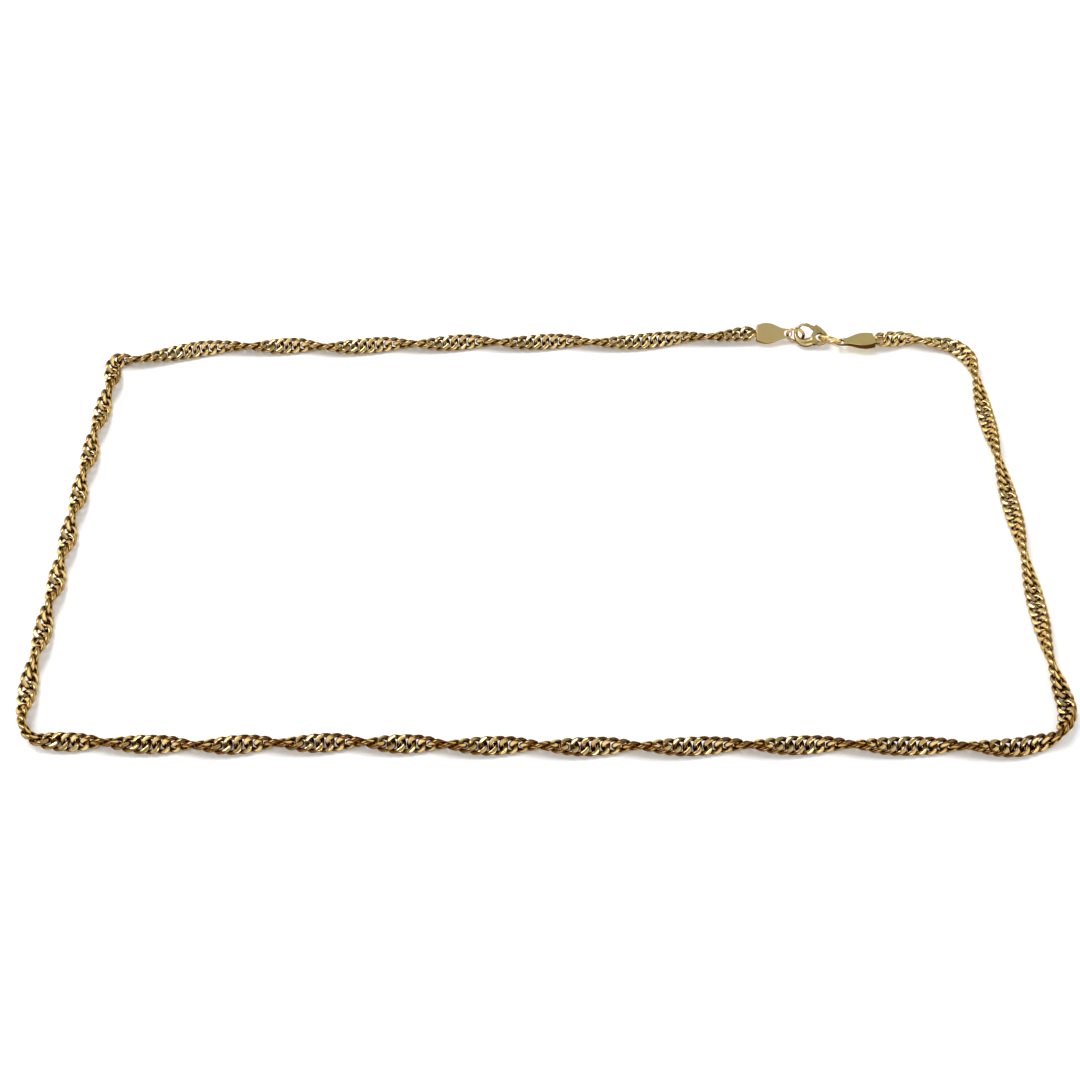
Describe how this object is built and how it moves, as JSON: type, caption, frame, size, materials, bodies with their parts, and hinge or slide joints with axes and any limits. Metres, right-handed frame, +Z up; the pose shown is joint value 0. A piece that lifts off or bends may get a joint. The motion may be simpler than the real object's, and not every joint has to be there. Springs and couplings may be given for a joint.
{
  "type": "singapore chain necklace",
  "caption": "Gold necklace of twisted curb links, fastened and laid flat in a rounded rectangle, with leaf-shaped end tabs, jump rings and a sprung lobster clasp.",
  "frame": {"origin": "middle of the laid necklace's box, on the surface it lies on", "axes": "+Z up from the surface, +X along the long front and back runs toward the side with the clasp, +Y from the front run to the back run"},
  "size_m": [0.1758, 0.0985, 0.0041],
  "materials": {
    "chain_gold": "polished yellow gold with bright flats",
    "tab_gold": "satin polished yellow gold",
    "ring_gold": "polished yellow gold",
    "clasp_gold": "polished yellow gold"
  },
  "bodies": {
    "necklace": {"chain": "chain_gold", "left_tab": "tab_gold", "right_tab": "tab_gold", "hook_ring": "ring_gold", "tail_ring": "ring_gold", "claw": "clasp_gold", "lever_rivet": "clasp_gold"},
    "lever": {"claw_lever": "clasp_gold"}
  },
  "joints": [
    {"name": "lever_hinge", "type": "hinge", "parent": "necklace", "child": "lever", "pos_m": [0.05475, 0.04723, 0.00272], "axis": [-0.1125, -0.4872, 0.866], "range_deg": [0, 24], "stiffness_Nm_per_rad": 0.002, "springref_deg": -11.46}
  ]
}
